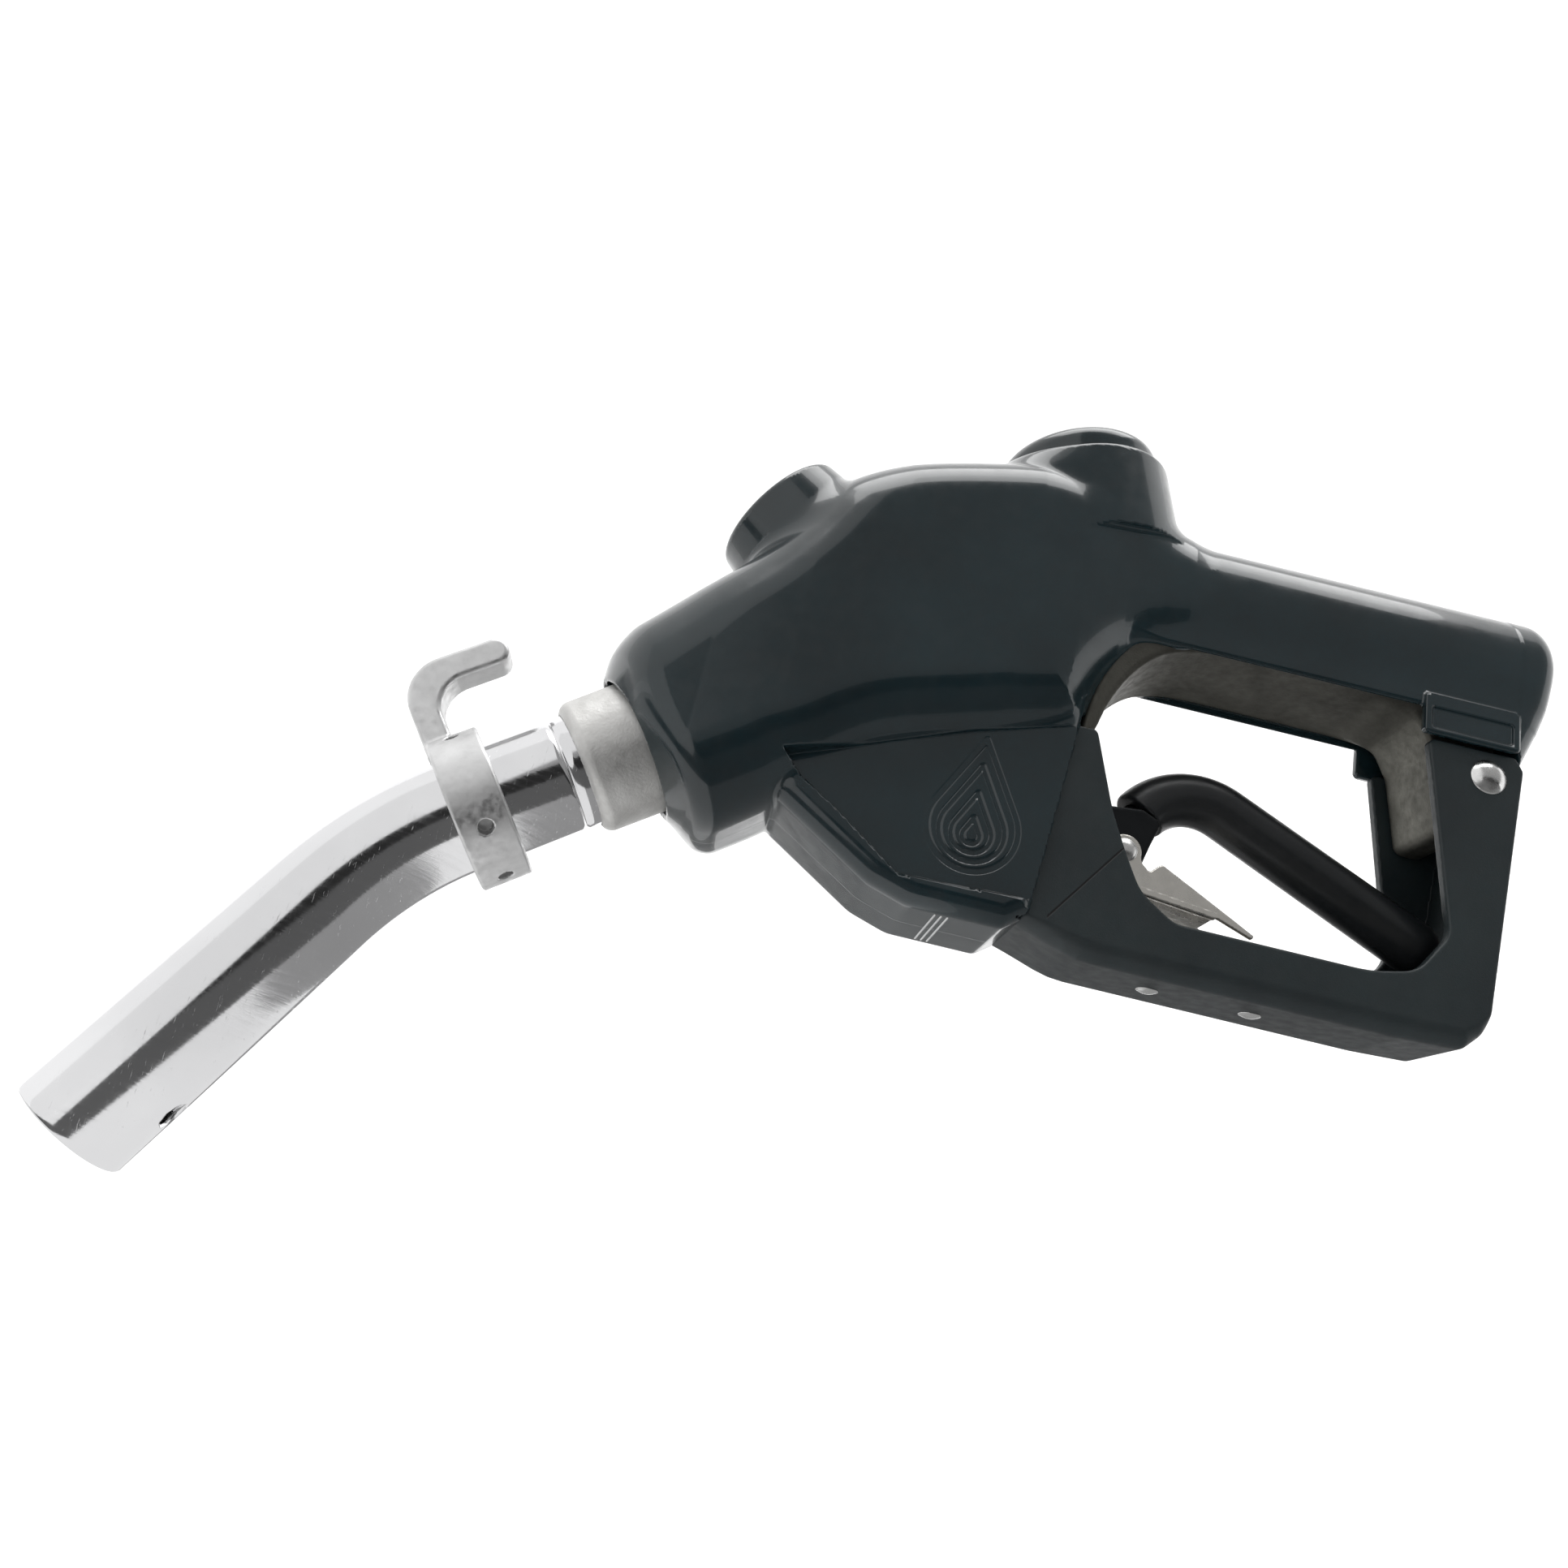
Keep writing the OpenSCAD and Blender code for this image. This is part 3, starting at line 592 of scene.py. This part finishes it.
THROAT = Outline(smooth_line([(-128, -51), (-124.6, -50), (-121.3, -40), (-116, -30), (-109, -22.8),
                              (-101, -19.6), (-90, -18.4), (-60, -18.4), (-16, -18.4), (-15, -14),
                              (-60, -13), (-100, -13), (-113, -17), (-121, -26), (-126, -38)]))
LUG = Outline(with_arcs([(-50, -12), (-44, -18.5, 6), (-36, -22, 8), (-32, -30, 8), (-28.5, -52, 3),
                         (-20, -52, 4), (-17, -42, 4), (-15, -34), (-15, -12)]))


def grip_casting_field(p):
    x, y, z = p[:, 0], p[:, 1], p[:, 2]
    ay = np.abs(y)
    bar = round_max(THROAT(x, z), ay - 16, 1.5)
    lug = round_max(LUG(x, z), ay - 12.6, 1.5)
    return round_min(bar, lug, 4)


def collar_field(p):
    s, h = along(p, GROOVE, TIPWARD, SPOUT_UP)
    r = np.hypot(h, p[:, 1])
    outer = round_max(r - 17.95 + 0.012 * (s + 20), s + 3.7, 3.2)
    collar = round_max(outer, 15.15 - r, 0.4)
    return np.maximum(collar, -40 - s)


THREAD_PITCH = 1.814


def thread_field(p):
    x, y, z = p[:, 0], p[:, 1], p[:, 2]
    r = np.hypot(y, z)
    turn = x / THREAD_PITCH + np.arctan2(y, z) / (2 * math.pi)
    ridge = np.abs(turn - np.floor(turn) - 0.5) * 2
    bore = 12.15 + 1.25 * ridge
    plain = 12.6 - r
    lead_in = (12.2 - r - x - 1.5) * 0.7
    wall = np.maximum(np.where(x < -13.6, plain, (bore - r) * 0.75), lead_in)
    return np.maximum(np.maximum(round_max(r - 13.9, x + 0.1, 0.5), wall), -19.5 - x)


for name, field, low, high, h, material in (
        # the grip casting takes the darker copy of cast aluminium, painted shade on its downward-facing
        # underside
        ("grip_casting", grip_casting_field, (-130, -17, -60), (-12, 17, 6), 0.8, SHADED_CASTING),
        ("collar", collar_field, (-287, -19, -125), (-228, 19, -52), 0.6, CASTING),
        ("inlet_thread", thread_field, (-20, -15, -15), (1, 15, 15), 0.36, CASTING)):
    stands_for(from_field(name, field, low, high, h, material), "body_casting", "nozzle_body")

# ---------------------------------------------------------------- guard

GUARD_SIDE = Outline(with_arcs([(-130.4, -49.4, 1), (-123.6, -49.2, 2), (-117, -70, 40),
                                (-112.5, -80, 40), (-107.3, -90, 12), (-98, -96, 7), (-48, -96, 30),
                                (-36, -93.2, 10), (-28, -82, 7), (-35.2, -30), (-35, -28.4, 2),
                                (-11.4, -28.4, 1.5), (-9.2, -32, 2), (-17.4, -104.8, 4), (-22, -109.2, 3),
                                (-38, -110, 20), (-120, -110, 25), (-136.8, -104.4, 1)]))
GUARD_ROOM = Outline(with_arcs([(-160, -20), (-160, -101), (-131, -101), (-122, -107, 4), (-36, -107, 10),
                                (-21.7, -104, 4), (-13.6, -36), (-11.4, -20)]))


def guard_field(p):
    x, y, z = p[:, 0], p[:, 1], p[:, 2]
    ay = np.abs(y)
    r = 0.7 + 4.3 * ease(-z, 99, 106)
    shell = round_max(GUARD_SIDE(x, z), ay - 16, r)
    return carve(shell, np.maximum(GUARD_ROOM(x, z), ay - 13), 0.5)


GUARD_PIECE = from_field("guard", guard_field, (-138, -17, -111), (-9, 17, -27), 0.6, GUARD)
stands_for(GUARD_PIECE, "lever_guard", "nozzle_body")

# ---------------------------------------------------------------- lever, its bracket and the hold-open clip

ARC_C, ARC_R, SLEEVE_R = np.array([-90.0, -74.3]), 18.5, 7.25
ARC_FROM, ARC_TO = math.radians(65.4), math.radians(150)
RUN = 58.0


def lever_line(x, z):
    """Distance in side view from the lever's centre line, and how far along it the nearest point is."""
    ux, uz = x - ARC_C[0], z - ARC_C[1]
    angle = np.clip(np.arctan2(uz, ux), ARC_FROM, ARC_TO)
    angle = np.where((uz < 0) & (ux < 0), ARC_TO, angle)
    arc = np.hypot(ux - ARC_R * np.cos(angle), uz - ARC_R * np.sin(angle))
    start = ARC_R * np.array([math.cos(ARC_FROM), math.sin(ARC_FROM)])
    way = np.array([math.sin(ARC_FROM), -math.cos(ARC_FROM)])
    k = (ux - start[0]) * way[0] + (uz - start[1]) * way[1]
    kc = np.clip(k, 0, RUN)
    line = np.hypot(ux - start[0] - kc * way[0], uz - start[1] - kc * way[1])
    return np.where(line < arc, line, arc), np.where(line < arc, kc, -ARC_R * (angle - ARC_FROM))


def sleeve_field(p):
    x, y, z = p[:, 0], p[:, 1], p[:, 2]
    off, _ = lever_line(x, z)
    tube = np.hypot(off, y) - SLEEVE_R
    angle = np.arctan2(z - ARC_C[1], x - ARC_C[0])
    cut = (np.where(angle < -1, angle + 2 * math.pi, angle) - ARC_TO + 0.06) * 18
    cut = np.where(x < -85, cut, -20)
    tube = round_max(tube, cut, 0.8)
    return round_max(tube, 4.1 - np.hypot(off, y), 0.3)


BRACKET = Outline(with_arcs([(-129, -77, 2), (-128, -69.6, 2), (-123, -66.6, 4), (-106.5, -64.5, 3),
                             (-101, -67, 2), (-103.4, -74, 3), (-105.2, -80.2, 1.5), (-112, -82.5, 2),
                             (-119, -80, 4), (-124, -80, 3)]))


def bracket_field(p):
    x, y, z = p[:, 0], p[:, 1], p[:, 2]
    ay = np.abs(y)
    cheeks = round_max(BRACKET(x, z), ay - 7.5, 0.8)
    off, _ = lever_line(x, z)
    core = np.maximum(np.hypot(off, y) - 4, -125 - x)
    gap = np.maximum(box2(x + 125, z + 78, 10, 14, 1), ay - 5.1)
    d = carve(cheeks, gap, 0.4)
    return round_min(d, core, 0.5)


CLIP = Outline(with_arcs([(-106.5, -79.2, 1.5), (-103.4, -81.9, 0.8), (-101.3, -79.8, 0.8),
                          (-100.2, -79.1, 0.5), (-84, -87.4), (-74.8, -92.2, 0.3), (-75.4, -93.2, 0.3),
                          (-84.6, -89.9, 1), (-85.6, -90, 1), (-105.4, -88, 3), (-113.4, -81, 6),
                          (-114, -77.5)]))


def clip_field(p):
    x, y, z = p[:, 0], p[:, 1], p[:, 2]
    ay = np.abs(y)
    eye = np.hypot(x + 110.3, z + 77.5)
    plate = round_min(CLIP(x, z), eye - 4.3, 1.5)
    plate = round_max(plate, np.abs(ay - 8.4) - 0.6, 0.25)
    web = np.maximum(np.abs(z + 88.55 + 0.1095 * (x + 95)) - 0.55, np.maximum(x + 85.6, -104.6 - x))
    web = np.maximum(web, ay - 8.6)
    return carve(round_min(plate, web, 0.8), eye - 2.05, 0.2)


for name, node, body, field, low, high, h, material in (
        ("lever_sleeve_moulding", "lever_sleeve", "lever", sleeve_field,
         (-116, -8, -91), (-20, 8, -48), 0.7, SLEEVE),
        ("lever_cheeks", "lever_bracket", "lever", bracket_field,
         (-131, -8, -90), (-24, 8, -48), 0.7, BLACK_STEEL),
        ("clip_plate", "hold_open_clip", "clip", clip_field, (-116, -10, -95), (-73, 10, -72), 0.33, NICKEL)):
    stands_for(from_field(name, field, low, high, h, material), node, body)

# ---------------------------------------------------------------- hook ring

RING_FROM, RING_WIDE, RING_R = 16.8, 13.2, 20.0
HOOK = Outline(with_arcs([(16, RING_FROM + 14), (42, RING_FROM + 14, 11.5), (42, 1.2, 3.7), (34.5, 1.2, 3.7),
                          (34.5, RING_FROM + 6.5, 8.5), (16, RING_FROM + 6.5)]))


# turns of the ring's blind holes, in degrees from the underside towards the near side
NEAR_HOLES = (56, 5)


def ring_field(p):
    s, h = along(p, GROOVE, TIPWARD, SPOUT_UP)
    y = p[:, 1]
    r = np.hypot(h, y)
    band = round_max(r - RING_R, np.abs(s - RING_FROM - RING_WIDE / 2) - RING_WIDE / 2, 0.8)
    hook = round_max(HOOK(h, s), np.abs(y) - 5, 1.3)
    d = round_min(band, hook, 1.2)
    d = round_max(d, 15.1 - r, 0.5)
    for turn in (-35, -80, -125):
        # through holes, turned about the spout from its upper side towards the far side
        a = math.radians(turn + 90)
        out = h * math.cos(a) + y * math.sin(a)
        side = np.hypot(-h * math.sin(a) + y * math.cos(a), s - RING_FROM - RING_WIDE / 2)
        d = carve(d, np.maximum(side - 1.9, 8 - out), 0.35)
    for turn in NEAR_HOLES:
        a = math.radians(turn)
        side = np.hypot(h * math.sin(a) - y * math.cos(a), s - RING_FROM - RING_WIDE / 2)
        d = carve(d, np.maximum(side - 1.9, 16.3 + h * math.cos(a) + y * math.sin(a)), 0.35)
    return d


stands_for(from_field("hook_and_ring", ring_field, (-306, -20, -130), (-240, 20, -52), 0.5, MACHINED),
           "hook_ring", "nozzle_body")

# ---------------------------------------------------------------- spout tube


def spout_frame(t):
    """Centre and upper direction of the spout's centre line, t millimetres from the groove."""
    bend_t = np.clip(t - ROOT, 0, BEND_R * BEND)
    phi = bend_t / BEND_R
    after = np.maximum(t - ROOT - BEND_R * BEND, 0)
    s = np.minimum(t, ROOT) + BEND_R * np.sin(phi) + after * np.cos(phi)
    h = BEND_R * (np.cos(phi) - 1) - after * np.sin(phi)
    centre = GROOVE + s[:, None] * TIPWARD + h[:, None] * SPOUT_UP
    up = np.sin(phi)[:, None] * TIPWARD + np.cos(phi)[:, None] * SPOUT_UP
    return centre, up


SPOUT_LENGTH = ROOT + BEND_R * BEND + END


def spout_mesh():
    step = 0.8
    groove = np.array([-0.62, -0.45, -0.2, 0, 0.2, 0.45, 0.62])
    hole_t = SPOUT_LENGTH - 17
    stations = np.concatenate([np.arange(-33, -1.2, step * 2), groove, np.arange(1.4, ROOT, step * 2),
                               np.arange(ROOT, hole_t - 10, step * 1.5), hole_t + np.arange(-10, 10.01, 0.5),
                               np.arange(hole_t + 10.6, SPOUT_LENGTH - 0.6, step * 1.5)])
    around = 180
    lip = np.array([0.5, 0.28, 0.1, 0])
    stations = np.concatenate([stations, SPOUT_LENGTH - lip])
    outer = np.full(stations.shape, SPOUT_R)
    outer -= np.interp(np.abs(stations), [0, 0.25, 0.6], [0.42, 0.36, 0])
    outer[-4:] -= np.array([0, 0.08, 0.26, 0.55])
    inner = np.full(stations.shape, SPOUT_R - 1.8)
    inner[-4:] += np.array([0, 0.05, 0.15, 0.35])
    angle = np.arange(around) * 2 * math.pi / around
    across = np.array([0, 1.0, 0])
    # the grid opens radially round the sensing hole, which faces down
    hole_r, reach = 3.2, 9.0
    mid = around // 2
    gt, ga = np.meshgrid(stations - hole_t, (angle - angle[mid]) * SPOUT_R, indexing="ij")
    rho = np.hypot(gt, ga)
    grow = np.where(rho < reach, (hole_r + rho * (1 - hole_r / reach)) / np.maximum(rho, 1e-6), 1)
    tt = gt * grow + hole_t
    aa = ga * grow / SPOUT_R + angle[mid]
    verts = []
    for radius in (outer, inner):
        c, n = spout_frame(tt.ravel())
        rad = np.repeat(radius, around)[:, None]
        verts.append(c + rad * (np.cos(aa.ravel())[:, None] * n + np.sin(aa.ravel())[:, None] * across))
    rows, total = len(stations), len(stations) * around
    i, j = np.meshgrid(np.arange(rows - 1), np.arange(around), indexing="ij")
    a, b = i * around + j, i * around + (j + 1) % around
    c, d = b + around, a + around
    faces = np.stack([a, b, c, d], -1).reshape(-1, 4)
    hub = int(np.argmin(np.abs(stations - hole_t))) * around + mid
    open_faces = (faces == hub).any(1)
    rim = faces[open_faces]
    faces = faces[~open_faces]
    inside = faces[:, ::-1] + total
    last = (rows - 1) * around
    j = np.arange(around)
    k = (j + 1) % around
    lip_faces = np.stack([last + j, last + k, last + k + total, last + j + total], -1)
    back = np.stack([k, j, j + total, k + total], -1)
    walls = []
    for quad in rim:
        for q in range(4):
            v, w = quad[q], quad[(q + 1) % 4]
            if hub not in (v, w):
                walls.append([v, w, w + total, v + total])
    faces = np.concatenate([faces, inside, lip_faces, back, np.array(walls)])
    return mesh_object("spout", np.concatenate(verts), faces, TUBE)


stands_for(spout_mesh(), "spout_tube", "nozzle_body")

# ---------------------------------------------------------------- turned pieces


def lathe(name, profile, centre, axis, material, around=48):
    """A solid of revolution; profile holds (radius, distance along the axis) from tip to root."""
    axis = np.array(axis, float)
    u = np.cross(axis, [0.3, 0.9, 0.2])
    u /= np.linalg.norm(u)
    v = np.cross(axis, u)
    angle = np.arange(around) * 2 * math.pi / around
    ring = np.cos(angle)[:, None] * u + np.sin(angle)[:, None] * v
    verts = [centre + axis * profile[0][1]]
    for r, t in profile[1:]:
        verts += list(centre + axis * t + r * ring)
    faces = [[0, 1 + j, 1 + (j + 1) % around] for j in range(around)]
    n = len(profile) - 1
    for i in range(n - 1):
        for j in range(around):
            a, b = 1 + i * around + j, 1 + i * around + (j + 1) % around
            faces.append([a, a + around, b + around, b])
    mesh = bpy.data.meshes.new(name)
    mesh.from_pydata((np.array(verts) * MM).tolist(), [], faces)
    mesh.shade_smooth()
    obj = bpy.data.objects.new(name, mesh)
    bpy.context.scene.collection.objects.link(obj)
    mesh.materials.append(material)
    return obj


def dome_profile(r, high, sink):
    """Rivet head of radius r: a low dome with a small round at its rim."""
    sphere = (r * r + high * high) / (2 * high)
    top = [(0, high)]
    for k in np.linspace(0.12, 1, 12):
        top.append((r * k, high - sphere + math.sqrt(sphere * sphere - (r * k) ** 2)))
    return top[:-1] + [(r - 0.06, 0.18), (r, 0.05), (r - 0.02, -0.12), (r - 0.5, -0.15), (r - 0.5, -sink)]


def paint_rivets():
    for sign, tag in ((-1, "near"), (1, "far")):
        stands_for(lathe("rear_rivet_" + tag, dome_profile(4.9, 2.4, 3),
                         np.array([-19.0, sign * 16.05, -36.0]), (0, sign, 0), RIVET),
                   "rear_rivet", "nozzle_body")
        stands_for(lathe("clip_rivet_" + tag, dome_profile(3.1, 1.1, 2),
                         np.array([-110.3, sign * 9.1, -77.5]), (0, sign, 0), RIVET),
                   "clip_rivet", "lever")
    for x in (-97.5, -70.5):
        stands_for(lathe(f"rack_rivet{int(-x)}", dome_profile(2.8, 0.9, 3), np.array([x, 0, -110.05]),
                         (0, 0, -1), RIVET), "rack_rivets", "nozzle_body")


paint_rivets()

# ---------------------------------------------------------------- studio

LENS, SENSOR, CAMERA_AT = 28.23, 36, (-202.2, -303.0, -192.2)
camera_data = bpy.data.cameras.new("camera")
camera = bpy.data.objects.new("camera", camera_data)
bpy.context.scene.collection.objects.link(camera)
bpy.context.scene.camera = camera
camera_data.lens, camera_data.sensor_width = LENS, SENSOR
camera_data.dof.use_dof = False
camera_data.clip_start = 0.01
RIGHT = Vector((0.972, -0.090, 0.217)).normalized()
BACK = Vector((-0.008, -0.936, -0.351)).normalized()
UP = BACK.cross(RIGHT).normalized()
RIGHT = UP.cross(BACK)
camera.matrix_world = (Matrix.Translation(Vector(CAMERA_AT) * MM)
                       @ Matrix((RIGHT, UP, BACK)).transposed().to_4x4())

FLOOR, WALL, CURVE, SPAN = -0.30, 2.2, 0.7, 6.0


def paper():
    m = Nodes("pale_paper")
    m.set(Specular_IOR_Level=0.0, Roughness=1.0, Base_Color=(0.88, 0.88, 0.88, 1),
          Emission_Color=(1, 1, 1, 1), Emission_Strength=0.3)
    return m.material


def glow(name, strength):
    m = Nodes(name)
    m.set(Specular_IOR_Level=0.0, Roughness=1.0, Base_Color=(0, 0, 0, 1), Emission_Color=(1, 1, 1, 1),
          Emission_Strength=strength)
    return m.material


def sheet(name, corners, material):
    obj = mesh_object(name, np.array(corners) / MM, [(0, 1, 2, 3)], material)
    return obj


profile = [(-SPAN, FLOOR), (WALL - CURVE, FLOOR)]
profile += [(WALL - CURVE + CURVE * math.sin(a), FLOOR + CURVE * (1 - math.cos(a)))
            for a in np.linspace(0.1, math.pi / 2, 14)]
profile += [(WALL, SPAN)]
verts = [(x, y / MM, z / MM) for y, z in profile for x in (-SPAN / MM, SPAN / MM)]
strips = [(2 * i, 2 * i + 1, 2 * i + 3, 2 * i + 2) for i in range(len(profile) - 1)]
backdrop = mesh_object("backdrop", verts, strips, paper())

# sides of the studio that only reflections show: dim beside the body, pale beside the spout
DIM, DARK = glow("dim_wall", 0.3), glow("dark_wall", 0.02)
PALE, DUSK = glow("pale_wall", 0.85), glow("dusk_floor", 0.1)
LOW, HIGH, TOP = FLOOR + 0.004, 0.03, 1.7
FRONT, BEHIND = -0.95, 0.55
SPLIT, UNDER, FAR = -0.38, -0.12, 2.0


def wall(name, x_from, x_to, bottom, top, lean, material):
    return sheet(name, [(x_from, FRONT, bottom), (x_to, FRONT, bottom), (x_to, FRONT + lean, top),
                        (x_from, FRONT + lean, top)], material)


def floor_strip(name, x_from, x_to, y_from, y_to, z, material):
    return sheet(name, [(x_from, y_from, z), (x_to, y_from, z), (x_to, y_to, z), (x_from, y_to, z)], material)


for flag in (wall("dim_card", SPLIT, FAR, HIGH, TOP, 0.5, DIM),
             wall("dark_card", SPLIT, FAR, LOW, HIGH, 0, DARK),
             floor_strip("dusk_floor_card", SPLIT, FAR, FRONT, -0.17, LOW, DUSK),
             floor_strip("dim_floor_card", UNDER, FAR, -0.17, BEHIND, LOW, DIM),
             floor_strip("back_floor_card", -1.0, FAR, BEHIND, 1.9, LOW, DIM),
             wall("pale_card", -FAR, SPLIT, LOW, TOP, 0, PALE),
             floor_strip("pale_floor_card", -FAR, UNDER, FRONT, BEHIND, LOW - 0.002, PALE),
             floor_strip("spout_floor_card", -1.5, SPLIT, -0.42, -0.17, LOW, DUSK)):
    flag.visible_camera = False
    flag.visible_shadow = False
    flag.visible_diffuse = False

world = bpy.data.worlds.new("studio")
bpy.context.scene.world = world
world.use_nodes = True
world.node_tree.nodes["Background"].inputs["Color"].default_value = (1, 1, 1, 1)
world.node_tree.nodes["Background"].inputs["Strength"].default_value = 1.0


def softbox(name, place, target, size, power):
    data = bpy.data.lights.new(name, "AREA")
    data.shape = "RECTANGLE"
    data.size, data.size_y = size
    data.energy = power
    light = bpy.data.objects.new(name, data)
    light.location = place
    light.rotation_euler = (Vector(target) - Vector(place)).to_track_quat("-Z", "Y").to_euler()
    bpy.context.scene.collection.objects.link(light)


softbox("top", (-0.15, -0.2, 1.2), (-0.15, 0, 0), (1.4, 0.8), 10)

bpy.context.scene.view_settings.view_transform = "Standard"
